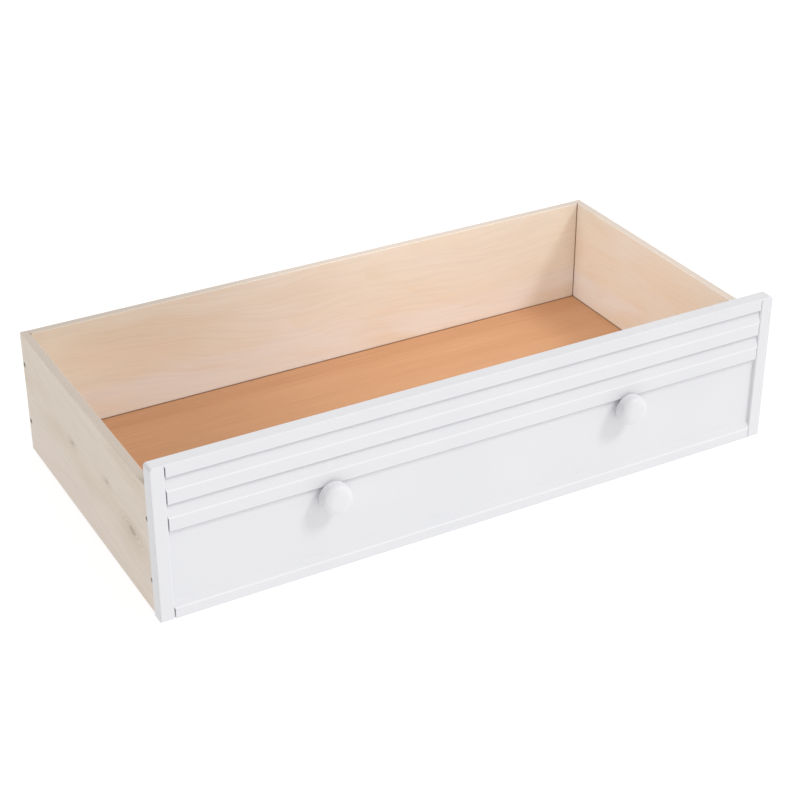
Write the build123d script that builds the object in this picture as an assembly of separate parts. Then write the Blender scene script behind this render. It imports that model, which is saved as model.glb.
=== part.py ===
from build123d import *
import os

# Rolling trundle drawer: a wide shallow box on four hidden casters, with a white framed front.
#
# Frame: +X across the front, -Y towards the person who pulls it, +Z up. The origin is on the floor,
# under the middle of the whole object, knobs included. All sizes are in millimetres.

# Driving sizes -------------------------------------------------------------------------------

# Front
FRONT_WIDTH = 960.0
FRONT_HEIGHT = 230.0
FRONT_THICKNESS = 20.0
STILE_WIDTH = 20.0
TOP_RAIL_HEIGHT = 19.0
SLAT_HEIGHT = 39.5          # each of the two slats under the top rail
SLAT_FLAT = 20.5            # flat nose at the lower end of a slat
BOTTOM_RAIL_HEIGHT = 27.0
BOTTOM_RAIL_FLAT = 16.0
RECESS = 5.0                # depth of the grooves and of the panel behind the front face
SHADOW_GAP = 1.2            # between the flat noses of the rails and the stiles
SHADOW_GAP_STOP = 3.0       # the top rail is whole for this far below its upper edge
NOSE_ROUND = 1.2
FRONT_ROUND = 2.0
STILE_CORNER = 5.0          # upper outer corner of each stile
TONGUE_THICKNESS = 6.0
TONGUE_LENGTH = 6.0
DOWEL_RADIUS = 3.0
DOWEL_LENGTH = 24.0

# Box
BOX_DEPTH = 469.0           # behind the front
BOARD = 12.0
SIDE_SETBACK = 2.0          # outer face of each side in from the end of the front
SIDE_DROP = 37.0            # top of the box below the top of the front
FLOOR_HEIGHT = 20.0         # underside of the floor panel above the lower edge of the box
FLOOR_THICKNESS = 5.0
GROOVE_DEPTH = 5.0
BOARD_EASE = 0.8

# Runners under the floor
RUNNER_WIDTH = 45.0
RUNNER_THICKNESS = 10.0
RUNNER_INSET = 60.0         # centre line of an outer runner from the inner face of its side

# Casters
WHEEL_RADIUS = 12.0
WHEEL_WIDTH = 12.0
HUB_RADIUS = 4.6
RIM_THICKNESS = 2.6
WEB_RECESS = 2.4
WHEEL_ROUND = 1.4
AXLE_RADIUS = 2.0
AXLE_DROP = 6.0             # axle below the upper face of the caster plate
AXLE_FLANGE = 1.4           # head of the axle pin beyond its shank
AXLE_HEAD = 1.3
AXLE_HEAD_ROUND = 0.8
SHEET = 1.5                 # steel of the caster plate
EAR_HALF_WIDTH = 5.0
PLATE_LENGTH = 48.0
PLATE_WIDTH = 40.0
PLATE_CORNER = 4.0
CASTER_INSET = 60.0         # caster centre from the inner faces of the front and back boards
CASTER_SCREW_INSET = 5.0    # hole centre in from each edge of the plate

# Knobs
KNOB_SPACING = 466.0
KNOB_DROP = 13.5            # knob axis below the upper edge of the recessed panel
KNOB_REACH = 29.0
KNOB_RADIUS = 21.5
KNOB_BASE_RADIUS = 12.0
KNOB_BASE_LEAN = (-0.4, 1)  # direction in which the base rises from the panel
KNOB_NECK_RADIUS = 11.2
KNOB_NECK_REACH = 3.5
KNOB_RIM_REACH = 11.5       # start of the head's straight side
KNOB_SIDE_REACH = 19.5      # end of the head's straight side
KNOB_SHOULDER = (0.82, 0.70)    # point of the domed face: shares of its radius and of its depth
INSERT_RADIUS = 3.5
INSERT_LENGTH = 12.0
BOLT_RADIUS = 2.0
BOLT_BITE = 9.0             # length of the bolt inside the insert
BOLT_HEAD_RADIUS = 4.2
BOLT_HEAD = 2.6
BOLT_HEAD_ROUND = 1.0
WASHER_RADIUS = 6.5
WASHER = 1.0

# Wood screws: shank radius, head radius, length
SIDE_SCREW = (2.0, 4.0, 45.0)
FRONT_SCREW = (2.0, 4.0, 27.0)
RUNNER_SCREW = (1.75, 3.5, 40.0)
CASTER_SCREW = (1.75, 3.4, 10.0)
CASTER_SCREW_HEAD = 2.0
SIDE_SCREW_INSET = 50.0     # from the upper and lower edges of a side
FRONT_SCREW_SPACING = 400.0
PAN_CROWN = 0.8             # radius of the flat on a pan head, as a share of the head's radius
PAN_SIDE = 0.55             # height of the upright side of a pan head, as a share of its height
DRIVE_REACH = 0.6           # reach of a cross recess, as a share of the head's radius
DRIVE_WIDTH = 0.9
DRIVE_DEPTH = 1.4

# How far a cutting shape passes through the surface that it cuts
OVERCUT = 1.0

# Clearances
GLUE_GAP = 0.1              # round tongues, dowels, screws and inserts
FLOOR_GAP = 0.2             # round the floor panel in its grooves
RUNNING_GAP = 0.05          # radial, between a wheel and its axle
WHEEL_SIDE_GAP = 0.5
WHEEL_SLOT_GAP = 2.0
HOLE_GAP = 0.25             # round bolts and screws that pass through a piece

# Places worked out from the driving sizes ----------------------------------------------------

KNOB_OVERHANG = KNOB_REACH - RECESS
DEPTH = KNOB_OVERHANG + FRONT_THICKNESS + BOX_DEPTH
FACE_Y = -DEPTH / 2 + KNOB_OVERHANG
FRONT_BACK_Y = FACE_Y + FRONT_THICKNESS
RECESS_Y = FACE_Y + RECESS
TONGUE_Y = (RECESS_Y + FRONT_BACK_Y - TONGUE_THICKNESS) / 2
BACK_Y = DEPTH / 2
INNER_FRONT_Y = FRONT_BACK_Y + BOARD
INNER_BACK_Y = BACK_Y - BOARD

FRONT_X = FRONT_WIDTH / 2
RAIL_X = FRONT_X - STILE_WIDTH
SIDE_X = FRONT_X - SIDE_SETBACK
INNER_X = SIDE_X - BOARD

AXLE_Z = WHEEL_RADIUS
RUNNER_Z = AXLE_Z + AXLE_DROP
FLOOR_Z = RUNNER_Z + RUNNER_THICKNESS
FLOOR_TOP_Z = FLOOR_Z + FLOOR_THICKNESS
BOTTOM_Z = FLOOR_Z - FLOOR_HEIGHT
FRONT_TOP_Z = BOTTOM_Z + FRONT_HEIGHT
BOX_TOP_Z = FRONT_TOP_Z - SIDE_DROP
TOP_RAIL_Z = FRONT_TOP_Z - TOP_RAIL_HEIGHT
UPPER_SLAT_Z = TOP_RAIL_Z - SLAT_HEIGHT
LOWER_SLAT_Z = UPPER_SLAT_Z - SLAT_HEIGHT
BOTTOM_RAIL_Z = BOTTOM_Z + BOTTOM_RAIL_HEIGHT

RUNNER_X = INNER_X - RUNNER_INSET
CASTER_Y = {"front": INNER_FRONT_Y + CASTER_INSET, "back": INNER_BACK_Y - CASTER_INSET}
CASTER_X = {"left": -RUNNER_X, "right": RUNNER_X}
EAR_X = WHEEL_WIDTH / 2 + WHEEL_SIDE_GAP
SLOT_HALF_LENGTH = WHEEL_RADIUS + WHEEL_SLOT_GAP
SLOT_HALF_WIDTH = EAR_X + SHEET

KNOB_X = {"left": -KNOB_SPACING / 2, "right": KNOB_SPACING / 2}
KNOB_Z = LOWER_SLAT_Z - KNOB_DROP


# Building blocks -----------------------------------------------------------------------------

def block(x, y, z, grow=0.0):
    """Box between two X, two Y and two Z values, grown by the same amount on every side."""
    size = [abs(b - a) + 2 * grow for a, b in (x, y, z)]
    middle = [(a + b) / 2 for a, b in (x, y, z)]
    return Pos(*middle) * Box(*size)


def bar_along_x(outline, x_from, x_to):
    """Bar with a closed (y, z) outline."""
    section = make_face(Plane.YZ * Polyline(*outline, close=True))
    return Pos(x_from, 0, 0) * extrude(section, amount=x_to - x_from)


def turned(outline):
    """Solid of revolution about Z with a closed (radius, z) outline."""
    return revolve(make_face(Plane.XZ * Polyline(*outline, close=True)), Axis.Z)


def pointing(x, y, z, direction):
    """Placement that turns +Z towards a direction."""
    return Location(Plane(origin=(x, y, z), z_dir=direction))


def group(solids):
    """Separate identical pieces kept in one node."""
    return Compound(children=list(solids))


def countersunk_screw(size, gap=0.0):
    """Countersunk wood screw: head flush at z = 0, point towards +Z."""
    shank, head, length = size
    cone = head - shank
    tip = length - 2 * shank
    return turned([(0, 0), (head + gap, 0), (shank + gap, cone), (shank + gap, tip), (0, length + gap)])


def pan_screw(size, head_height, gap=0.0):
    """Pan-headed screw: head below z = 0, point towards +Z."""
    shank, head, length = size
    tip = length - 2 * shank
    return turned([(0, -head_height), (PAN_CROWN * head, -head_height), (head, -PAN_SIDE * head_height),
                   (head, 0), (shank + gap, 0), (shank + gap, tip), (0, length + gap)])


def cross_recess(head_radius, head_z):
    """Cross for the screwdriver, cut into a head whose face is at head_z."""
    arm = DRIVE_REACH * head_radius
    depth = (head_z - OVERCUT, head_z + DRIVE_DEPTH)
    half = DRIVE_WIDTH / 2
    return block((-arm, arm), (-half, half), depth) + block((-half, half), (-arm, arm), depth)


def placed_screws(size, places):
    """Countersunk screws with their cross recesses, at a list of placements."""
    screw = countersunk_screw(size) - cross_recess(size[1], 0)
    return [place * screw for place in places]


def screw_bores(size, places):
    return [place * countersunk_screw(size, GLUE_GAP) for place in places]


def cut(solid, tools):
    for tool in tools:
        solid = solid - tool
    return solid


# Fixings -------------------------------------------------------------------------------------

def side_screw_places():
    """Two screws at each end of both sides, into the end grain of the inner front and back boards."""
    places = []
    for sign in (-1, 1):
        for y in (FRONT_BACK_Y + BOARD / 2, BACK_Y - BOARD / 2):
            for z in (BOTTOM_Z + SIDE_SCREW_INSET, BOX_TOP_Z - SIDE_SCREW_INSET):
                places.append(pointing(sign * SIDE_X, y, z, (-sign, 0, 0)))
    return places


def front_screw_places():
    """Screws from inside the box, through the inner front board, into the lower slat and bottom rail."""
    heights = (LOWER_SLAT_Z + SLAT_FLAT / 2, BOTTOM_Z + BOTTOM_RAIL_FLAT / 2)
    columns = (-FRONT_SCREW_SPACING, 0, FRONT_SCREW_SPACING)
    return [pointing(x, INNER_FRONT_Y, z, (0, -1, 0)) for z in heights for x in columns]


def runner_screw_places():
    """One screw into each end of each runner."""
    z = RUNNER_Z + RUNNER_THICKNESS / 2
    places = []
    for x in (-RUNNER_X, 0, RUNNER_X):
        places.append(pointing(x, FRONT_BACK_Y, z, (0, 1, 0)))
        places.append(pointing(x, BACK_Y, z, (0, -1, 0)))
    return places


def caster_screw_places(x, y):
    """Four screws at the corners of a caster plate, driven upwards into the runner."""
    dx = PLATE_WIDTH / 2 - CASTER_SCREW_INSET
    dy = PLATE_LENGTH / 2 - CASTER_SCREW_INSET
    return [Pos(x + sx * dx, y + sy * dy, RUNNER_Z - SHEET) for sx in (-1, 1) for sy in (-1, 1)]


def dowel_centres():
    """(y, z) of the dowel at the end of each rail and slat."""
    middle = FACE_Y + FRONT_THICKNESS / 2
    rail_body = TOP_RAIL_HEIGHT - TONGUE_LENGTH
    return [
        (middle, FRONT_TOP_Z - rail_body / 2),
        (middle, UPPER_SLAT_Z + SLAT_FLAT / 2 + TONGUE_LENGTH / 2),
        (middle, LOWER_SLAT_Z + SLAT_FLAT / 2 + TONGUE_LENGTH / 2),
        (middle, BOTTOM_Z + BOTTOM_RAIL_FLAT / 2),
    ]


def dowels(gap=0.0):
    """Dowels across both joints between the stiles and the rails; with a gap, their holes."""
    peg = Rot(0, 90, 0) * Cylinder(DOWEL_RADIUS + gap, DOWEL_LENGTH + 2 * gap)
    return [Pos(sign * RAIL_X, y, z) * peg for sign in (-1, 1) for y, z in dowel_centres()]


def knob_axis(side):
    """Placement of a knob: z = 0 on the recessed panel, +Z out towards the person."""
    return pointing(KNOB_X[side], RECESS_Y, KNOB_Z, (0, -1, 0))


def knob_bolt_holes():
    reach = INNER_FRONT_Y - RECESS_Y
    hole = Pos(0, 0, -reach / 2) * Cylinder(BOLT_RADIUS + HOLE_GAP, reach + 2 * OVERCUT)
    return [knob_axis(side) * hole for side in KNOB_X]


# Front ---------------------------------------------------------------------------------------

def tongue(z, up=1):
    """Tongue that rises (or hangs) from an edge at height z, between the stiles."""
    y = (TONGUE_Y, TONGUE_Y + TONGUE_THICKNESS)
    return block((-RAIL_X, RAIL_X), y, (z, z + up * TONGUE_LENGTH))


def tongue_groove(z, up=1):
    """Groove for the tongue of the piece next to the edge at height z, open at the edge."""
    y = (TONGUE_Y - GLUE_GAP, TONGUE_Y + TONGUE_THICKNESS + GLUE_GAP)
    x = RAIL_X + OVERCUT
    return block((-x, x), y, (z, z + up * (TONGUE_LENGTH + GLUE_GAP)))


def shadow_gaps(z_from, z_to):
    """Narrow cuts that keep a flat nose clear of the stiles, from just under one height up to another."""
    depth = (FACE_Y - OVERCUT, RECESS_Y)
    height = (z_from - OVERCUT, z_to)
    inner = RAIL_X - SHADOW_GAP
    outer = RAIL_X + OVERCUT
    return [block((sign * inner, sign * outer), depth, height) for sign in (-1, 1)]


def nose_rounded(bar, radius=NOSE_ROUND):
    """Round the long edges at the front face of a rail or slat."""
    return fillet(bar.edges().filter_by(Axis.X).group_by(Axis.Y)[0], radius)


def make_top_rail():
    outline = [(FACE_Y, TOP_RAIL_Z), (FRONT_BACK_Y, TOP_RAIL_Z),
               (FRONT_BACK_Y, FRONT_TOP_Z), (FACE_Y, FRONT_TOP_Z)]
    bar = bar_along_x(outline, -RAIL_X, RAIL_X)
    long_edges = bar.edges().filter_by(Axis.X)
    bar = fillet(long_edges.group_by(Axis.Y)[0].sort_by(Axis.Z)[-1:], FRONT_ROUND)
    bar = fillet(bar.edges().filter_by(Axis.X).group_by(Axis.Y)[0].sort_by(Axis.Z)[0:1], NOSE_ROUND)
    gaps = shadow_gaps(TOP_RAIL_Z, FRONT_TOP_Z - SHADOW_GAP_STOP)
    return cut(bar, [tongue_groove(TOP_RAIL_Z), *gaps, *dowels(GLUE_GAP)])


def make_slat(z):
    """Slat whose upper part slopes out from the groove to a flat nose, like a lapped board."""
    top = z + SLAT_HEIGHT
    outline = [(FACE_Y, z), (FRONT_BACK_Y, z), (FRONT_BACK_Y, top), (RECESS_Y, top), (FACE_Y, z + SLAT_FLAT)]
    bar = nose_rounded(bar_along_x(outline, -RAIL_X, RAIL_X))
    bar = bar + tongue(top)
    return cut(bar, [tongue_groove(z), *shadow_gaps(z, z + SLAT_FLAT), *dowels(GLUE_GAP)])


def make_front_panel():
    """Recessed panel with a tongue on all four edges."""
    panel = block((-RAIL_X, RAIL_X), (RECESS_Y, FRONT_BACK_Y), (BOTTOM_RAIL_Z, LOWER_SLAT_Z))
    side_tongue = block((-RAIL_X - TONGUE_LENGTH, RAIL_X + TONGUE_LENGTH),
                        (TONGUE_Y, TONGUE_Y + TONGUE_THICKNESS), (BOTTOM_RAIL_Z, LOWER_SLAT_Z))
    panel = panel + tongue(LOWER_SLAT_Z) + tongue(BOTTOM_RAIL_Z, -1) + side_tongue
    return cut(panel, knob_bolt_holes())


def make_bottom_rail():
    slope_foot = BOTTOM_Z + BOTTOM_RAIL_FLAT
    outline = [(FACE_Y, BOTTOM_Z), (FRONT_BACK_Y, BOTTOM_Z), (FRONT_BACK_Y, BOTTOM_RAIL_Z),
               (RECESS_Y, BOTTOM_RAIL_Z), (FACE_Y, slope_foot)]
    bar = nose_rounded(bar_along_x(outline, -RAIL_X, RAIL_X))
    bores = screw_bores(FRONT_SCREW, front_screw_places())
    gaps = shadow_gaps(BOTTOM_Z, slope_foot)
    return cut(bar, [tongue_groove(BOTTOM_RAIL_Z, -1), *gaps, *dowels(GLUE_GAP), *bores])


def make_stile(sign):
    stile = block((sign * RAIL_X, sign * FRONT_X), (FACE_Y, FRONT_BACK_Y), (BOTTOM_Z, FRONT_TOP_Z))
    upper_edges = stile.edges().filter_by(Axis.Y).group_by(Axis.Z)[-1]
    outer_edge = max(upper_edges, key=lambda edge: sign * edge.center().X)
    stile = fillet(outer_edge, STILE_CORNER)
    stile = fillet(stile.faces().sort_by(Axis.Y)[0].edges(), FRONT_ROUND)
    x_groove = (sign * (RAIL_X - OVERCUT), sign * (RAIL_X + TONGUE_LENGTH + GLUE_GAP))
    y_groove = (TONGUE_Y - GLUE_GAP, TONGUE_Y + TONGUE_THICKNESS + GLUE_GAP)
    groove = block(x_groove, y_groove, (BOTTOM_RAIL_Z - GLUE_GAP, LOWER_SLAT_Z + GLUE_GAP))
    return cut(stile, [groove, *dowels(GLUE_GAP)])


# Box -----------------------------------------------------------------------------------------

def floor_panel(grow=0.0):
    """Floor panel, let into grooves in all four boards; grown, the cut that makes the grooves."""
    x = INNER_X + GROOVE_DEPTH
    y = (INNER_FRONT_Y - GROOVE_DEPTH, INNER_BACK_Y + GROOVE_DEPTH)
    return block((-x, x), y, (FLOOR_Z, FLOOR_TOP_Z), grow)


def make_board(x, y):
    """Plywood board of the box with its long upper and lower edges eased."""
    board = block(x, y, (BOTTOM_Z, BOX_TOP_Z))
    along = Axis.X if abs(x[1] - x[0]) > abs(y[1] - y[0]) else Axis.Y
    board = fillet(board.edges().filter_by(along), BOARD_EASE)
    return board - floor_panel(FLOOR_GAP)


def make_side(sign):
    side = make_board((sign * INNER_X, sign * SIDE_X), (FRONT_BACK_Y, BACK_Y))
    return cut(side, screw_bores(SIDE_SCREW, side_screw_places()))


def make_back_panel():
    back = make_board((-INNER_X, INNER_X), (INNER_BACK_Y, BACK_Y))
    bores = screw_bores(SIDE_SCREW, side_screw_places()) + screw_bores(RUNNER_SCREW, runner_screw_places())
    return cut(back, bores)


def make_inner_front():
    board = make_board((-INNER_X, INNER_X), (FRONT_BACK_Y, INNER_FRONT_Y))
    bores = screw_bores(SIDE_SCREW, side_screw_places()) + screw_bores(RUNNER_SCREW, runner_screw_places())
    bores += screw_bores(FRONT_SCREW, front_screw_places())
    return cut(board, [*bores, *knob_bolt_holes()])


def make_runner(x, on_casters=False):
    """Runner under the floor; an outer one has a slot for the top of each wheel."""
    half = RUNNER_WIDTH / 2
    runner = block((x - half, x + half), (INNER_FRONT_Y, INNER_BACK_Y), (RUNNER_Z, FLOOR_Z))
    runner = cut(runner, screw_bores(RUNNER_SCREW, runner_screw_places()))
    if not on_casters:
        return runner
    for y in CASTER_Y.values():
        slot = block((x - SLOT_HALF_WIDTH, x + SLOT_HALF_WIDTH),
                     (y - SLOT_HALF_LENGTH, y + SLOT_HALF_LENGTH), (RUNNER_Z - OVERCUT, FLOOR_Z + OVERCUT))
        pilot = pan_screw(CASTER_SCREW, CASTER_SCREW_HEAD, GLUE_GAP)
        runner = cut(runner, [slot, *[place * pilot for place in caster_screw_places(x, y)]])
    return runner


# Knobs ---------------------------------------------------------------------------------------

def make_knob(side):
    """Turned knob: a short neck and a broad barrel-shaped head with a domed face."""
    base = Line((0, 0), (KNOB_BASE_RADIUS, 0))
    neck_side = Spline((KNOB_BASE_RADIUS, 0), (KNOB_NECK_RADIUS, KNOB_NECK_REACH),
                       (KNOB_RADIUS, KNOB_RIM_REACH), tangents=(KNOB_BASE_LEAN, (0, 1)))
    head_side = Line((KNOB_RADIUS, KNOB_RIM_REACH), (KNOB_RADIUS, KNOB_SIDE_REACH))
    dome_depth = KNOB_REACH - KNOB_SIDE_REACH
    shoulder = (KNOB_SHOULDER[0] * KNOB_RADIUS, KNOB_SIDE_REACH + KNOB_SHOULDER[1] * dome_depth)
    dome = Spline((KNOB_RADIUS, KNOB_SIDE_REACH), shoulder, (0, KNOB_REACH), tangents=((0, 1), (-1, 0)))
    axis_line = Line((0, KNOB_REACH), (0, 0))
    body = revolve(make_face(Plane.XZ * (base + neck_side + head_side + dome + axis_line)), Axis.Z)
    socket = Cylinder(INSERT_RADIUS + GLUE_GAP, INSERT_LENGTH + 2 * GLUE_GAP)
    socket = Pos(0, 0, INSERT_LENGTH / 2) * socket
    return knob_axis(side) * (body - socket)


def make_insert(side):
    bore = Cylinder(BOLT_RADIUS + GLUE_GAP, INSERT_LENGTH + 2 * OVERCUT)
    sleeve = Cylinder(INSERT_RADIUS, INSERT_LENGTH) - bore
    return knob_axis(side) * (Pos(0, 0, INSERT_LENGTH / 2) * sleeve)


def make_washer(side):
    ring = Cylinder(WASHER_RADIUS, WASHER) - Cylinder(BOLT_RADIUS + HOLE_GAP, WASHER + 2 * OVERCUT)
    return knob_axis(side) * (Pos(0, 0, RECESS_Y - INNER_FRONT_Y - WASHER / 2) * ring)


def make_bolt(side):
    """Bolt from inside the box, through both boards, into the insert in the knob."""
    head_seat = RECESS_Y - INNER_FRONT_Y - WASHER
    shank = Pos(0, 0, (head_seat + BOLT_BITE) / 2) * Cylinder(BOLT_RADIUS, BOLT_BITE - head_seat)
    head = Pos(0, 0, head_seat - BOLT_HEAD / 2) * Cylinder(BOLT_HEAD_RADIUS, BOLT_HEAD)
    head = fillet(head.edges().sort_by(Axis.Z)[0:1], BOLT_HEAD_ROUND)
    recess = cross_recess(BOLT_HEAD_RADIUS, head_seat - BOLT_HEAD)
    return knob_axis(side) * (shank + head - recess)


# Casters -------------------------------------------------------------------------------------

def make_ear(sign):
    """Ear bent down from the plate, tapering to a round end about the axle."""
    root = SLOT_HALF_LENGTH - SHEET
    top = RUNNER_Z - SHEET / 2
    taper = make_face(Plane.YZ * Polyline((-EAR_HALF_WIDTH, AXLE_Z), (EAR_HALF_WIDTH, AXLE_Z),
                                          (root, top), (-root, top), close=True))
    web = Pos(sign * EAR_X, 0, 0) * extrude(taper, amount=SHEET, dir=(sign, 0, 0))
    boss = Pos(sign * (EAR_X + SHEET / 2), 0, AXLE_Z) * Rot(0, 90, 0) * Cylinder(EAR_HALF_WIDTH, SHEET)
    return web + boss


def make_caster_plate(x, y):
    """Rigid caster plate with a window for the wheel and two ears for its axle."""
    plate = Pos(0, 0, RUNNER_Z - SHEET / 2) * Box(PLATE_WIDTH, PLATE_LENGTH, SHEET)
    plate = fillet(plate.edges().filter_by(Axis.Z), PLATE_CORNER)
    through = (RUNNER_Z - SHEET - OVERCUT, RUNNER_Z + OVERCUT)
    window = block((-EAR_X, EAR_X), (-SLOT_HALF_LENGTH, SLOT_HALF_LENGTH), through)
    plate = plate - window
    plate = plate + make_ear(-1) + make_ear(1)
    axle_hole = Pos(0, 0, AXLE_Z) * Rot(0, 90, 0) * Cylinder(AXLE_RADIUS + RUNNING_GAP, PLATE_WIDTH)
    screw_hole = Cylinder(CASTER_SCREW[0] + HOLE_GAP, 4 * SHEET)
    holes = [place * screw_hole for place in caster_screw_places(0, 0)]
    return Pos(x, y, 0) * cut(plate, [axle_hole, *holes])


def make_caster_axle(x, y):
    """Riveted axle pin with a head outside each ear."""
    reach = EAR_X + SHEET
    pin = Cylinder(AXLE_RADIUS, 2 * reach)
    for sign in (-1, 1):
        head = Cylinder(AXLE_RADIUS + AXLE_FLANGE, AXLE_HEAD)
        outer_edge = head.edges().sort_by(Axis.Z)[-1:] if sign > 0 else head.edges().sort_by(Axis.Z)[0:1]
        head = fillet(outer_edge, AXLE_HEAD_ROUND)
        pin = pin + Pos(0, 0, sign * (reach + AXLE_HEAD / 2)) * head
    return Pos(x, y, AXLE_Z) * Rot(0, 90, 0) * pin


def make_caster_wheel(x, y):
    """Moulded wheel with a hub, a thinner web and a rounded rim."""
    wheel = Cylinder(WHEEL_RADIUS, WHEEL_WIDTH)
    wheel = fillet(wheel.edges(), WHEEL_ROUND)
    hub = Cylinder(HUB_RADIUS, WEB_RECESS + 2 * OVERCUT)
    web_ring = Cylinder(WHEEL_RADIUS - RIM_THICKNESS, WEB_RECESS) - hub
    for sign in (-1, 1):
        wheel = wheel - Pos(0, 0, sign * (WHEEL_WIDTH - WEB_RECESS) / 2) * web_ring
    wheel = wheel - Cylinder(AXLE_RADIUS + RUNNING_GAP, WHEEL_WIDTH + 2 * OVERCUT)
    return Pos(x, y, AXLE_Z) * Rot(0, 90, 0) * wheel


def make_caster_screws(x, y):
    screw = pan_screw(CASTER_SCREW, CASTER_SCREW_HEAD) - cross_recess(CASTER_SCREW[1], -CASTER_SCREW_HEAD)
    return group(place * screw for place in caster_screw_places(x, y))


# Assembly ------------------------------------------------------------------------------------

def front_nodes():
    lower_slat = cut(make_slat(LOWER_SLAT_Z), screw_bores(FRONT_SCREW, front_screw_places()))
    return {
        "left_stile": make_stile(-1),
        "right_stile": make_stile(1),
        "top_rail": make_top_rail(),
        "upper_slat": make_slat(UPPER_SLAT_Z),
        "lower_slat": lower_slat,
        "front_panel": make_front_panel(),
        "bottom_rail": make_bottom_rail(),
        "rail_dowels": group(dowels()),
    }


def box_nodes():
    return {
        "inner_front": make_inner_front(),
        "left_side": make_side(-1),
        "right_side": make_side(1),
        "back_panel": make_back_panel(),
        "floor_panel": floor_panel(),
        "left_runner": make_runner(-RUNNER_X, on_casters=True),
        "centre_runner": make_runner(0),
        "right_runner": make_runner(RUNNER_X, on_casters=True),
        "side_screws": group(placed_screws(SIDE_SCREW, side_screw_places())),
        "front_screws": group(placed_screws(FRONT_SCREW, front_screw_places())),
        "runner_screws": group(placed_screws(RUNNER_SCREW, runner_screw_places())),
    }


def knob_nodes():
    return {
        "left_knob": make_knob("left"),
        "right_knob": make_knob("right"),
        "knob_inserts": group(make_insert(side) for side in KNOB_X),
        "knob_washers": group(make_washer(side) for side in KNOB_X),
        "knob_bolts": group(make_bolt(side) for side in KNOB_X),
    }


def caster_nodes():
    nodes = {}
    for end, y in CASTER_Y.items():
        for side, x in CASTER_X.items():
            corner = f"{end}_{side}"
            nodes[f"caster_plate_{corner}"] = make_caster_plate(x, y)
            nodes[f"caster_axle_{corner}"] = make_caster_axle(x, y)
            nodes[f"caster_wheel_{corner}"] = make_caster_wheel(x, y)
            nodes[f"caster_screws_{corner}"] = make_caster_screws(x, y)
    return nodes


def main():
    os.makedirs("parts", exist_ok=True)
    nodes = {**front_nodes(), **box_nodes(), **knob_nodes(), **caster_nodes()}
    for name, shape in nodes.items():
        export_step(shape, f"parts/{name}.step")
    print(f"{len(nodes)} nodes")


main()
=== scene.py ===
"""Looks for the rolling trundle drawer: materials, floor, lights and camera."""
import math

import bpy
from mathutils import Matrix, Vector


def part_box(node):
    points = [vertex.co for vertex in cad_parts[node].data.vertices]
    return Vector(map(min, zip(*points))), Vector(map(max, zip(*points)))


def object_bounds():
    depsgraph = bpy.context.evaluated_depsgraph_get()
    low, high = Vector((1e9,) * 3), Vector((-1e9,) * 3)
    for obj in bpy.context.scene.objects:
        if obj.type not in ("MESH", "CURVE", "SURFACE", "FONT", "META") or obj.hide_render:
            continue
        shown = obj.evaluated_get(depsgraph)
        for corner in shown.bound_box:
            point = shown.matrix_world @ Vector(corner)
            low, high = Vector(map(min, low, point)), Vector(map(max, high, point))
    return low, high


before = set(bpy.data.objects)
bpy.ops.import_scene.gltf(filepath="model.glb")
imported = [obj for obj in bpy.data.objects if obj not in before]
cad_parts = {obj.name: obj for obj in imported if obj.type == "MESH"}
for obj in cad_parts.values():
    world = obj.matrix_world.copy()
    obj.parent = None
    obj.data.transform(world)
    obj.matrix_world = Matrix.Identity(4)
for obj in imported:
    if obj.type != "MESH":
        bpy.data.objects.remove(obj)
CAD_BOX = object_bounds()

# Camera: where it stands round the middle of the drawer, in degrees and metres
CAMERA_AZIMUTH = -29.17
CAMERA_ELEVATION = 29.91
CAMERA_DISTANCE = 2.653
CAMERA_LENS = 82.9
SENSOR = 36.0
AIM_OFFSET = Vector((-0.0147, -0.0224, -0.0190))

# Light: a white studio round the object, dimmer on the left and brighter overhead, with a white band just
# above the floor's far edge; a soft sun from the front right; a softbox for the inside of the box; and a
# floor lit from within
WORLD_LEFT = 0.20
WORLD_RIGHT = 0.84
WORLD_ZENITH = 0.50
WORLD_HORIZON = 1.0
ZENITH_FROM = 0.3
HORIZON_BAND = (0.09, 0.14)
KEY_DIRECTION = Vector((0.56, -0.64, 0.95))
KEY_STRENGTH = 0.93
KEY_ANGLE = math.radians(14)
SOFTBOX_SIZE = (0.5, 0.3)
SOFTBOX_PLACE = Vector((-0.18, -0.12, 0.85))
SOFTBOX_AIM = Vector((0.38, 0.10, 0.04))
SOFTBOX_SPREAD = math.radians(75)
SOFTBOX_POWER = 0.90
FLOOR_SIZE = 60.0
FLOOR_COLOUR = (0.26, 0.26, 0.26, 1)
FLOOR_GLOW = 0.84

BOX_NODES = ("left_side", "right_side", "back_panel", "inner_front", "floor_panel")


# Node helpers --------------------------------------------------------------------------------

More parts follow.
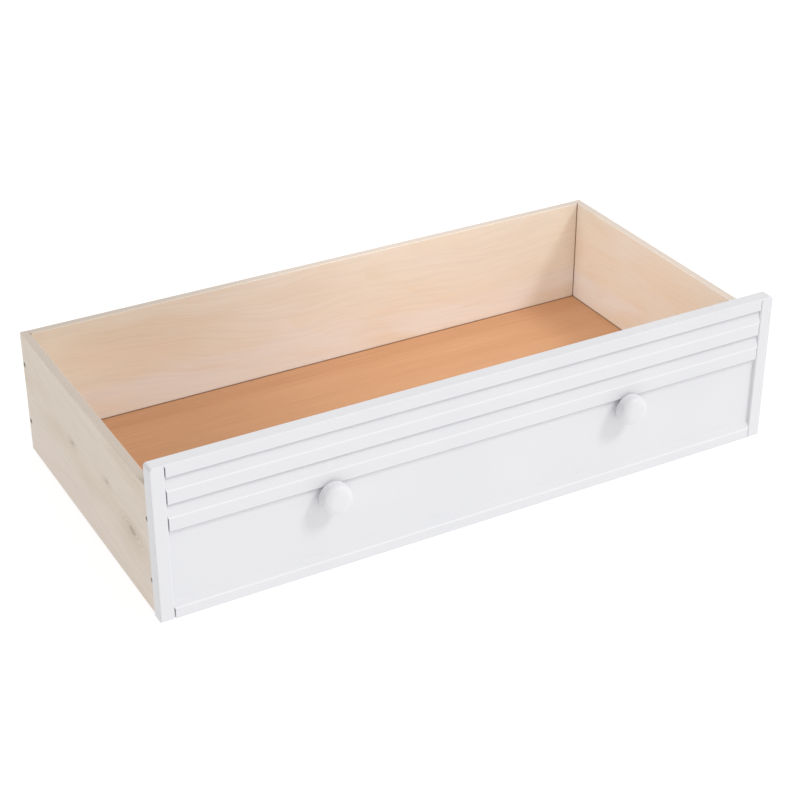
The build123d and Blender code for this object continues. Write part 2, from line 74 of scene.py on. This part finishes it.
class Shader:
    """A material's node tree, built node by node."""

    def __init__(self, name):
        self.material = bpy.data.materials.new(name)
        self.material.use_nodes = True
        self.tree = self.material.node_tree
        self.bsdf = self.tree.nodes["Principled BSDF"]

    def add(self, kind, values=None, **settings):
        """New node; values go to its inputs by name or index, as numbers or as sockets to link."""
        node = self.tree.nodes.new(kind)
        for key, value in settings.items():
            setattr(node, key, value)
        for key, value in (values or {}).items():
            self.feed(node.inputs[key], value)
        return node

    def feed(self, socket, value):
        if isinstance(value, bpy.types.NodeSocket):
            self.tree.links.new(value, socket)
        else:
            socket.default_value = value

    def maths(self, operation, *values):
        return self.add("ShaderNodeMath", dict(enumerate(values)), operation=operation).outputs[0]

    def times(self, a, b):
        return self.maths("MULTIPLY", a, b)

    def distance(self, value, place):
        return self.maths("ABSOLUTE", self.maths("SUBTRACT", value, place))

    def components(self, output):
        coordinates = self.add("ShaderNodeTexCoord")
        split = self.add("ShaderNodeSeparateXYZ", {0: coordinates.outputs[output]})
        return dict(zip("xyz", split.outputs))

    def place(self):
        """x, y and z of the shaded point in the object's frame."""
        return self.components("Object")

    def normal(self):
        """The components of the surface's normal in the object's frame."""
        return self.components("Normal")

    def point(self, x, y, z):
        return self.add("ShaderNodeCombineXYZ", {0: x, 1: y, 2: z}).outputs[0]

    def noise(self, vector, scale, detail=4.0, roughness=0.55, distortion=0.0):
        node = self.add("ShaderNodeTexNoise", {"Vector": vector, "Scale": scale, "Detail": detail,
                                               "Roughness": roughness, "Distortion": distortion})
        return node.outputs["Fac"]

    def ramp(self, value, stops):
        node = self.add("ShaderNodeValToRGB", {0: value})
        ramp = node.color_ramp
        ramp.interpolation = "EASE"
        while len(ramp.elements) < len(stops):
            ramp.elements.new(0.5)
        for element, (position, colour) in zip(ramp.elements, stops):
            element.position = position
            element.color = colour if len(colour) == 4 else (*colour, 1)
        return node.outputs[0]

    def between(self, value, low, high, to_low=0.0, to_high=1.0):
        node = self.add("ShaderNodeMapRange", {0: value, 1: low, 2: high, 3: to_low, 4: to_high},
                        interpolation_type="SMOOTHSTEP")
        return node.outputs[0]

    def mix(self, factor, a, b, blend="MIX"):
        node = self.add("ShaderNodeMix", data_type="RGBA", blend_type=blend)
        for index, value in ((0, factor), (6, a), (7, b)):
            self.feed(node.inputs[index], value)
        return node.outputs[2]

    def joints_and_painted_lines(self, colour, p, face, joints_and_painted_lines, line_colour):
        """Hairlines on one face of a board, each with a fainter band of its colour beside it. Dark ones draw
        joints between boards with painted shade beside them, and painted shade lines under the noses of the
        front; pale ones draw painted highlights.
        """
        from_face = self.distance(p[face[0]], face[1])
        on_face = self.between(from_face, JOINT_AND_PAINTED_LINE_WIDTH, 2 * JOINT_AND_PAINTED_LINE_WIDTH, 1.0, 0.0)
        for axis, at, reach in joints_and_painted_lines:
            away = self.distance(p[axis], at)
            painted_shade_and_highlight = self.between(away, 0.0, reach, PAINTED_SHADE_AND_HIGHLIGHT_BESIDE, 0.0)
            line = self.between(away, JOINT_AND_PAINTED_LINE_WIDTH, 2 * JOINT_AND_PAINTED_LINE_WIDTH, JOINT_AND_PAINTED_LINE_DEPTH, 0.0)
            colour = self.mix(self.times(painted_shade_and_highlight, on_face), colour, line_colour)
            colour = self.mix(self.times(line, on_face), colour, line_colour)
        return colour

    def bump(self, height, strength, distance, normal=None):
        values = {"Height": height, "Strength": strength, "Distance": distance}
        if normal is not None:
            values["Normal"] = normal
        return self.add("ShaderNodeBump", values).outputs[0]

    def finish(self, colour, roughness, normal=None, **plain):
        self.feed(self.bsdf.inputs["Base Color"], colour)
        self.feed(self.bsdf.inputs["Roughness"], roughness)
        if normal is not None:
            self.feed(self.bsdf.inputs["Normal"], normal)
        for name, value in plain.items():
            self.bsdf.inputs[name.replace("_", " ")].default_value = value
        return self.material


# Materials -----------------------------------------------------------------------------------

PAINT_TONES = [(0.3, (0.760, 0.762, 0.785)), (0.7, (0.780, 0.778, 0.798))]
TAN_TONES = [(0.30, (0.510, 0.256, 0.126)), (0.52, (0.535, 0.278, 0.141)), (0.75, (0.555, 0.297, 0.156))]
TAN_PORE = (0.36, 0.18, 0.08, 1)
RUNNER_TONES = (0.78, 0.60, 0.40), (0.60, 0.40, 0.22)
DOWEL_TONES = (0.70, 0.52, 0.35), (0.58, 0.40, 0.25)
SCREW_STEEL = (0.20, 0.185, 0.17)
ZINC = (0.66, 0.66, 0.64)
BRASS = (0.74, 0.55, 0.26)
CASTER_ZINC = (0.60, 0.61, 0.62)
WHEEL_NYLON = (0.045, 0.045, 0.05)
PLY = 0.0024
PLY_LIGHT = (0.62, 0.54, 0.47, 1)
PLY_DARK = (0.56, 0.47, 0.39, 1)
KNOT = (0.30, 0.22, 0.15, 1)
KNOT_HALO = (0.46, 0.37, 0.27, 1)
KNOT_FLATNESS = 0.45
SEAM = (0.20, 0.085, 0.035, 1)
# Colour of the painted shade line under each nose of the front
NOSE_PAINTED_SHADE_LINE = (0.38, 0.38, 0.42, 1)
# Colour of the painted highlight along the ridge where each bevel meets its flat
RIDGE_PAINTED_HIGHLIGHT = (0.86, 0.86, 0.875, 1)
SLAT_FLAT = 0.0205
BOTTOM_RAIL_FLAT = 0.016
# Hairlines and the painted bands beside them: width and strength of a line, strength of the band, and how far the
# band reaches as painted shade in corners, at the foot of walls and under the noses, and as painted highlight on
# the ridges, in metres
JOINT_AND_PAINTED_LINE_WIDTH = 0.0008
JOINT_AND_PAINTED_LINE_DEPTH = 0.80
PAINTED_SHADE_AND_HIGHLIGHT_BESIDE = 0.08
CORNER_PAINTED_SHADE_REACH = 0.030
FOOT_PAINTED_SHADE_REACH = 0.006
NOSE_PAINTED_SHADE_AND_HIGHLIGHT_REACH = 0.0014
# Place along the board, height and half length of each knot and blush, in metres
LEFT_KNOTS = ((-0.150, 0.100, 0.020), (-0.065, 0.128, 0.008), (0.065, 0.118, 0.009))
BACK_BLUSHES = ((-0.375, 0.140, 0.055), (-0.300, 0.120, 0.060))
RIGHT_BLUSHES = ((0.180, 0.180, 0.050), (0.000, 0.170, 0.090), (-0.130, 0.130, 0.100))
PALE_BAND_LOW = 0.075
PALE_BAND_HIGH = 0.100
# Veneer tones for the inner and outer faces of the same veneer: painted paler inside as painted light, duller
# outside as painted shade
INSIDE_PLY_PAINTED_LIGHT = {"face": (0.90, 0.85, 0.80, 1), "streak": (0.89, 0.81, 0.70, 1), "patch": (0.87, 0.74, 0.59, 1),
              "blush": (0.89, 0.75, 0.59, 1)}
OUTSIDE_PLY_PAINTED_SHADE = {"face": (0.81, 0.70, 0.61, 1), "streak": (0.78, 0.68, 0.575, 1), "patch": (0.71, 0.60, 0.48, 1),
               "blush": (0.70, 0.57, 0.43, 1)}


def grey(value):
    return (value, value, value, 1)


def white_paint(name, along, seed, face=0.0, edge=None, painted_highlight_ridge=None):
    """Satin white lacquer: the wood's grain barely shows through, with a fine sprayed texture. On the front face,
    at y = face, a fine grey line of painted shade follows the lower edge of a nose and a pale line of painted
    highlight the ridge above it."""
    s = Shader(name)
    p = s.place()
    stretch = {axis: s.times(p[axis], 0.06 if axis == along else 1.0) for axis in "xyz"}
    grain_at = s.point(stretch["x"], s.maths("ADD", stretch["y"], seed), stretch["z"])
    grain = s.noise(grain_at, 240.0, 5.0, 0.6)
    spray_at = s.point(p["x"], p["y"], p["z"])
    spray = s.noise(spray_at, 900.0, 2.0, 0.5)
    cloud = s.noise(spray_at, 6.0, 2.0, 0.5)
    tone = s.ramp(cloud, PAINT_TONES)
    # a painted shade line and band under the nose's lower edge, and a painted highlight line and band along the
    # ridge
    for height, line_colour in ((edge, NOSE_PAINTED_SHADE_LINE), (painted_highlight_ridge, RIDGE_PAINTED_HIGHLIGHT)):
        if height is not None:
            tone = s.joints_and_painted_lines(tone, p, ("y", face), [("z", height, NOSE_PAINTED_SHADE_AND_HIGHLIGHT_REACH)], line_colour)
    roughness = s.between(cloud, 0.3, 0.7, 0.36, 0.46)
    normal = s.bump(spray, 0.10, 0.0004)
    normal = s.bump(grain, 0.16, 0.0005, normal)
    return s.finish(tone, roughness, normal, IOR=1.5)


def plywood(node, along, inner, seed, joints_and_painted_lines, knots=(), blushes=()):
    """Rotary-cut plywood: pale veneer with broad clouds, faint looping figure and fine fibres, a few knots,
    plies on the edges, and dark hairlines where other boards meet its inner face, which is an axis and a place
    on it, with painted shade spreading beside each hairline. The outer face is painted duller and the inner face
    paler, painted shade and painted light on one veneer. A joint is an axis, a place and the reach of the painted
    shade beside it; a knot or a blush of warmer colour is its place along and up the board and its half length."""
    s = Shader(f"plywood_{node}")
    p = s.place()
    n = s.normal()
    u = p[along]
    v = p["z"]
    thick = inner[0]
    low, high = (getattr(corner, thick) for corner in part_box(node))
    # the inner face takes the paler tones and the outer face the duller ones: painted light and painted shade
    inside = s.maths("LESS_THAN", s.distance(p[thick], inner[1]), (high - low) / 2)
    painted_lit_and_shaded_tones = {key: s.mix(inside, OUTSIDE_PLY_PAINTED_SHADE[key], INSIDE_PLY_PAINTED_LIGHT[key]) for key in INSIDE_PLY_PAINTED_LIGHT}
    side = s.maths("ADD", s.times(p[thick], 30.0), seed)
    # the figure wanders across the board as it runs along it, and parts round the knots
    wander = s.noise(s.point(s.times(u, 1.5), s.times(v, 3.0), side), 1.0, 3.0, 0.5)
    bent = s.maths("ADD", v, s.times(wander, 0.16))
    rough_at = s.point(s.times(u, 30.0), s.times(v, 60.0), side)
    rough = s.noise(rough_at, 1.0, 3.0, 0.6)

    def spot(place, height, half):
        """Distance from a spot, as a share of its ragged outline's, and the share of that up the board."""
        du = s.maths("DIVIDE", s.maths("SUBTRACT", u, place), half)
        dv = s.maths("DIVIDE", s.maths("SUBTRACT", v, height), half * KNOT_FLATNESS)
        squared = s.maths("ADD", s.times(du, du), s.times(dv, dv))
        away = s.maths("ADD", s.maths("SQRT", squared), s.times(s.maths("SUBTRACT", rough, 0.5), 0.9))
        return away, dv

    eyes = []
    for place, height, half in knots:
        away, dv = spot(place, height, half)
        push = s.times(dv, s.between(away, 0.3, 3.0, -0.7 * half * KNOT_FLATNESS, 0.0))
        bent = s.maths("ADD", bent, push)
        eyes.append(away)
    cloud = s.noise(s.point(s.times(u, 2.4), s.times(bent, 9.0), side), 1.0, 3.0, 0.5)
    warm = s.noise(s.point(s.times(u, 3.4), s.times(bent, 11.0), s.maths("ADD", side, 5.3)),
                   1.0, 2.0, 0.5)
    fibre = s.noise(s.point(s.times(u, 9.0), s.times(bent, 330.0), side), 1.0, 4.0, 0.6)
    mottle = s.noise(s.point(s.times(u, 14.0), s.times(bent, 40.0), side), 1.0, 3.0, 0.5)
    # growth rings, cut nearly parallel to their surface, come out as loops
    height_at = s.point(s.times(u, 1.5), s.times(bent, 5.5), s.maths("ADD", side, 2.1))
    height = s.noise(height_at, 1.0, 2.0, 0.45, 0.3)
    loops = s.maths("FRACT", s.times(s.maths("ADD", height, s.times(fibre, 0.02)), 12.0))
    late = s.times(s.between(loops, 0.3, 0.95), s.between(mottle, 0.35, 0.65, 0.05, 0.30))
    # the veneer is paler along its lower part
    zone = s.maths("ADD", v, s.times(s.maths("SUBTRACT", cloud, 0.5), 0.07))
    middle_tone = s.between(zone, PALE_BAND_LOW, PALE_BAND_HIGH)
    tone = s.times(s.between(cloud, 0.30, 0.60, 0.35, 1.0), middle_tone)
    colour = s.mix(tone, painted_lit_and_shaded_tones["face"], painted_lit_and_shaded_tones["streak"])
    colour = s.mix(s.between(warm, 0.50, 0.68, 0.0, 0.7), colour, painted_lit_and_shaded_tones["patch"])
    for blush in blushes:
        colour = s.mix(s.between(spot(*blush)[0], 0.0, 1.6, 0.60, 0.0), colour, painted_lit_and_shaded_tones["blush"])
    colour = s.mix(late, colour, painted_lit_and_shaded_tones["patch"])
    fibre_tone = s.ramp(fibre, [(0.30, grey(0.92)), (0.62, grey(1.0))])
    colour = s.mix(0.55, colour, fibre_tone, "MULTIPLY")
    for away in eyes:
        rings = s.maths("ABSOLUTE", s.maths("SINE", s.times(away, 5.0)))
        fade = s.between(away, 0.6, 3.2, 0.42, 0.0)
        colour = s.mix(s.times(fade, rings), colour, KNOT_HALO)
        colour = s.mix(s.between(away, 0.25, 0.8, 0.5, 0.0), colour, KNOT)
    # plies on the edges
    edge = s.between(s.maths("ABSOLUTE", n[thick]), 0.35, 0.75, 1.0, 0.0)
    layer_at = s.maths("ADD", s.times(p[thick], 1.0 / PLY), s.times(fibre, 0.10))
    layer = s.maths("ABSOLUTE", s.maths("SINE", s.times(layer_at, math.pi)))
    end_fibre = s.noise(s.point(p["x"], p["y"], p["z"]), 620.0, 3.0, 0.6)
    plies = s.mix(s.between(layer, 0.25, 0.6), PLY_DARK, PLY_LIGHT)
    plies = s.mix(0.5, plies, s.ramp(end_fibre, [(0.3, grey(0.86)), (0.6, grey(1.0))]), "MULTIPLY")
    colour = s.mix(edge, colour, plies)
    # dark joint hairlines with painted shade spreading beside them
    colour = s.joints_and_painted_lines(colour, p, inner, joints_and_painted_lines, SEAM)
    roughness = s.between(fibre, 0.3, 0.7, 0.60, 0.50)
    normal = s.bump(fibre, 0.18, 0.0005)
    return s.finish(colour, roughness, normal, IOR=1.45)


def tan_board(name, top, joints_and_painted_lines):
    """Thin tan floor board: fine straight grain across the drawer, low sheen, dark joint hairlines where the
    walls meet it, with a narrow painted shade beside them.
    """
    s = Shader(name)
    p = s.place()
    wander = s.noise(s.point(s.times(p["x"], 1.2), s.times(p["y"], 3.0), 2.0), 1.0, 2.0)
    across = s.maths("ADD", p["y"], s.times(wander, 0.02))
    broad = s.noise(s.point(s.times(p["x"], 0.7), s.times(across, 24.0), 4.0), 1.0, 3.0)
    fine = s.noise(s.point(s.times(p["x"], 7.0), s.times(across, 520.0), 9.0), 1.0, 4.0, 0.6)
    pore = s.noise(s.point(s.times(p["x"], 60.0), s.times(across, 1500.0), 1.0), 1.0, 2.0)
    colour = s.ramp(broad, TAN_TONES)
    colour = s.mix(0.7, colour, s.ramp(fine, [(0.32, grey(0.86)), (0.60, grey(1.0))]), "MULTIPLY")
    colour = s.mix(s.between(pore, 0.62, 0.74, 0.0, 0.35), colour, TAN_PORE)
    # dark joint hairlines where the walls stand, with a narrow painted shade beside them
    colour = s.joints_and_painted_lines(colour, p, ("z", top), joints_and_painted_lines, SEAM)
    normal = s.bump(fine, 0.18, 0.0003)
    return s.finish(colour, s.between(fine, 0.3, 0.7, 0.50, 0.42), normal, IOR=1.48)


def raw_wood(name, along, seed, light, dark):
    """Planed softwood with growth rings that run along the piece."""
    s = Shader(name)
    p = s.place()
    others = [axis for axis in "xyz" if axis != along]
    ring_at = s.point(s.times(p[along], 1.2), s.times(p[others[0]], 22.0),
                      s.maths("ADD", s.times(p[others[1]], 30.0), seed))
    rings = s.maths("FRACT", s.times(s.noise(ring_at, 1.0, 2.0, 0.45), 14.0))
    fibre_at = s.point(s.times(p[along], 8.0), s.times(p[others[0]], 500.0),
                       s.times(p[others[1]], 500.0))
    fibre = s.noise(fibre_at, 1.0, 3.0, 0.6)
    colour = s.mix(s.between(rings, 0.55, 0.95), (*light, 1), (*dark, 1))
    colour = s.mix(0.6, colour, s.ramp(fibre, [(0.3, grey(0.82)), (0.6, grey(1.0))]), "MULTIPLY")
    normal = s.bump(fibre, 0.3, 0.0005)
    return s.finish(colour, s.between(fibre, 0.3, 0.7, 0.68, 0.56), normal, IOR=1.45)


def metal(name, colour, low_roughness, high_roughness):
    """Plated metal with faint cloudiness and fine scratches."""
    s = Shader(name)
    p = s.place()
    at = s.point(p["x"], p["y"], p["z"])
    cloud = s.noise(at, 120.0, 3.0, 0.6)
    scratch = s.noise(s.point(s.times(p["x"], 3000.0), s.times(p["y"], 120.0),
                              s.times(p["z"], 400.0)), 1.0, 2.0)
    darker = tuple(0.78 * c for c in colour)
    tone = s.ramp(cloud, [(0.35, darker), (0.65, colour)])
    normal = s.bump(scratch, 0.08, 0.0002)
    return s.finish(tone, s.between(cloud, 0.3, 0.7, low_roughness, high_roughness), normal, Metallic=1.0)


def moulded_plastic(name, colour):
    """Moulded nylon with a fine matt texture and scuffs."""
    s = Shader(name)
    p = s.place()
    at = s.point(p["x"], p["y"], p["z"])
    grain = s.noise(at, 1400.0, 2.0, 0.5)
    scuff = s.noise(at, 160.0, 4.0, 0.65)
    paler = tuple(min(1.0, 1.35 * c + 0.02) for c in colour)
    tone = s.ramp(scuff, [(0.45, colour), (0.72, paler)])
    normal = s.bump(grain, 0.15, 0.0002)
    return s.finish(tone, s.between(scuff, 0.3, 0.7, 0.42, 0.58), normal, IOR=1.5)


def dress(nodes, material):
    """Give CAD nodes a material."""
    for node in nodes:
        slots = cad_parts[node].data.materials
        slots.clear()
        slots.append(material)


def dress_front():
    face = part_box("left_stile")[0].y
    foot = {node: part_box(node)[0].z for node in ("top_rail", "upper_slat", "lower_slat", "bottom_rail")}
    # heights above each piece's lower edge of the ridge that carries a painted highlight
    painted_highlight_ridge = {"upper_slat": SLAT_FLAT, "lower_slat": SLAT_FLAT, "bottom_rail": BOTTOM_RAIL_FLAT}
    for seed, node in enumerate(foot):
        # each piece but the bottom rail gets a painted shade line under its nose
        edge = foot[node] if node != "bottom_rail" else None
        painted_highlight_height = foot[node] + painted_highlight_ridge[node] if node in painted_highlight_ridge else None
        dress([node], white_paint(f"white_paint_{node}", "x", 3.0 * seed, face, edge, painted_highlight_height))
    dress(["front_panel"], white_paint("white_paint_front_panel", "x", 12.0))
    for seed, node in enumerate(("left_stile", "right_stile")):
        dress([node], white_paint(f"white_paint_{node}", "z", 20.0 + 3.0 * seed))
    dress(["left_knob", "right_knob"], white_paint("white_paint_knobs", "y", 40.0))


def dress_box():
    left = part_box("left_side")[1].x
    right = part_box("right_side")[0].x
    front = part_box("inner_front")[1].y
    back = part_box("back_panel")[0].y
    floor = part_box("floor_panel")[1].z
    # joint lines where boards meet, each with painted shade beside it over the given reach
    ends = [("x", left, CORNER_PAINTED_SHADE_REACH), ("x", right, CORNER_PAINTED_SHADE_REACH), ("z", floor, FOOT_PAINTED_SHADE_REACH)]
    sides = [("y", front, CORNER_PAINTED_SHADE_REACH), ("y", back, CORNER_PAINTED_SHADE_REACH), ("z", floor, FOOT_PAINTED_SHADE_REACH)]
    dress(["back_panel"], plywood("back_panel", "x", ("y", back), 1.3, ends, blushes=BACK_BLUSHES))
    dress(["inner_front"], plywood("inner_front", "x", ("y", front), 17.9, ends))
    dress(["right_side"], plywood("right_side", "y", ("x", right), 5.1, sides, blushes=RIGHT_BLUSHES))
    dress(["left_side"], plywood("left_side", "y", ("x", left), 11.7, sides, knots=LEFT_KNOTS))
    edges = [("x", left, FOOT_PAINTED_SHADE_REACH), ("x", right, FOOT_PAINTED_SHADE_REACH), ("y", front, FOOT_PAINTED_SHADE_REACH), ("y", back, FOOT_PAINTED_SHADE_REACH)]
    dress(["floor_panel"], tan_board("tan_board", floor, edges))
    for seed, node in enumerate(("left_runner", "centre_runner", "right_runner")):
        dress([node], raw_wood(f"softwood_{node}", "y", 2.0 * seed, *RUNNER_TONES))
    dress(["rail_dowels"], raw_wood("dowel_beech", "x", 31.0, *DOWEL_TONES))


def dress_hardware():
    screws = [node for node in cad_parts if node.endswith("screws") or node.startswith("caster_screws")]
    dress(screws, metal("dark_screw_steel", SCREW_STEEL, 0.35, 0.5))
    dress(["knob_bolts", "knob_washers"], metal("zinc", ZINC, 0.28, 0.42))
    dress(["knob_inserts"], metal("brass", BRASS, 0.3, 0.45))
    casters = [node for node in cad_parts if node.startswith(("caster_plate", "caster_axle"))]
    dress(casters, metal("caster_zinc", CASTER_ZINC, 0.3, 0.48))
    wheels = [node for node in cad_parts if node.startswith("caster_wheel")]
    dress(wheels, moulded_plastic("wheel_nylon", WHEEL_NYLON))


# Stage ---------------------------------------------------------------------------------------

def middle():
    low, high = CAD_BOX
    return (low + high) / 2


def make_floor():
    bpy.ops.mesh.primitive_plane_add(size=FLOOR_SIZE, location=(0, 0, 0))
    floor = bpy.context.object
    floor.name = "floor"
    s = Shader("pale_floor")
    s.finish(FLOOR_COLOUR, 0.8, Specular_IOR_Level=0.1, Emission_Strength=FLOOR_GLOW)
    s.bsdf.inputs["Emission Color"].default_value = (1, 1, 1, 1)
    floor.data.materials.append(s.material)


def look_at(thing, target):
    thing.rotation_euler = (target - thing.location).to_track_quat("-Z", "Y").to_euler()


def make_lights():
    world = bpy.data.worlds.new("studio")
    world.use_nodes = True
    tree = world.node_tree
    background = tree.nodes["Background"]
    background.inputs["Color"].default_value = (1.0, 1.0, 1.0, 1)
    split = tree.nodes.new("ShaderNodeSeparateXYZ")
    tree.links.new(tree.nodes.new("ShaderNodeTexCoord").outputs["Generated"], split.inputs[0])
    total = tree.nodes.new("ShaderNodeMath")
    for slot, (axis, low, high, dim, bright) in enumerate((("X", -1.0, 1.0, WORLD_LEFT, WORLD_RIGHT),
                                                           ("Z", ZENITH_FROM, 1.0, 0.0, WORLD_ZENITH))):
        part = tree.nodes.new("ShaderNodeMapRange")
        for index, value in enumerate((low, high, dim, bright), start=1):
            part.inputs[index].default_value = value
        tree.links.new(split.outputs[axis], part.inputs[0])
        tree.links.new(part.outputs[0], total.inputs[slot])
    # the air just above the floor's far edge is as pale as the floor
    horizon = tree.nodes.new("ShaderNodeMapRange")
    for index, value in enumerate((*HORIZON_BAND, 1.0, 0.0), start=1):
        horizon.inputs[index].default_value = value
    tree.links.new(split.outputs["Z"], horizon.inputs[0])
    strength = tree.nodes.new("ShaderNodeMix")
    strength.inputs[3].default_value = WORLD_HORIZON
    tree.links.new(horizon.outputs[0], strength.inputs[0])
    tree.links.new(total.outputs[0], strength.inputs[2])
    tree.links.new(strength.outputs[0], background.inputs["Strength"])
    bpy.context.scene.world = world
    key = bpy.data.objects.new("key", bpy.data.lights.new("key", "SUN"))
    key.data.energy = KEY_STRENGTH
    key.data.angle = KEY_ANGLE
    key.location = middle() + KEY_DIRECTION
    bpy.context.scene.collection.objects.link(key)
    look_at(key, middle())
    softbox = bpy.data.objects.new("softbox", bpy.data.lights.new("softbox", "AREA"))
    softbox.data.shape = "RECTANGLE"
    softbox.data.size, softbox.data.size_y = SOFTBOX_SIZE
    softbox.data.spread = SOFTBOX_SPREAD
    softbox.data.energy = SOFTBOX_POWER
    softbox.location = SOFTBOX_PLACE
    bpy.context.scene.collection.objects.link(softbox)
    look_at(softbox, SOFTBOX_AIM)
    # the softbox fills the inside of the drawer only
    inside = bpy.data.collections.new("inside")
    for node in BOX_NODES:
        inside.objects.link(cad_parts[node])
    softbox.light_linking.receiver_collection = inside


def make_camera():
    camera = bpy.data.objects.new("camera", bpy.data.cameras.new("camera"))
    camera.data.lens = CAMERA_LENS
    camera.data.sensor_width = SENSOR
    azimuth = math.radians(CAMERA_AZIMUTH)
    elevation = math.radians(CAMERA_ELEVATION)
    back = Vector((math.sin(azimuth) * math.cos(elevation), -math.cos(azimuth) * math.cos(elevation),
                   math.sin(elevation)))
    aim = middle() + AIM_OFFSET
    camera.location = aim + back * CAMERA_DISTANCE
    look_at(camera, aim)
    bpy.context.scene.collection.objects.link(camera)
    bpy.context.scene.camera = camera
    bpy.context.scene.view_settings.view_transform = "Standard"


dress_front()
dress_box()
dress_hardware()
make_floor()
make_lights()
make_camera()
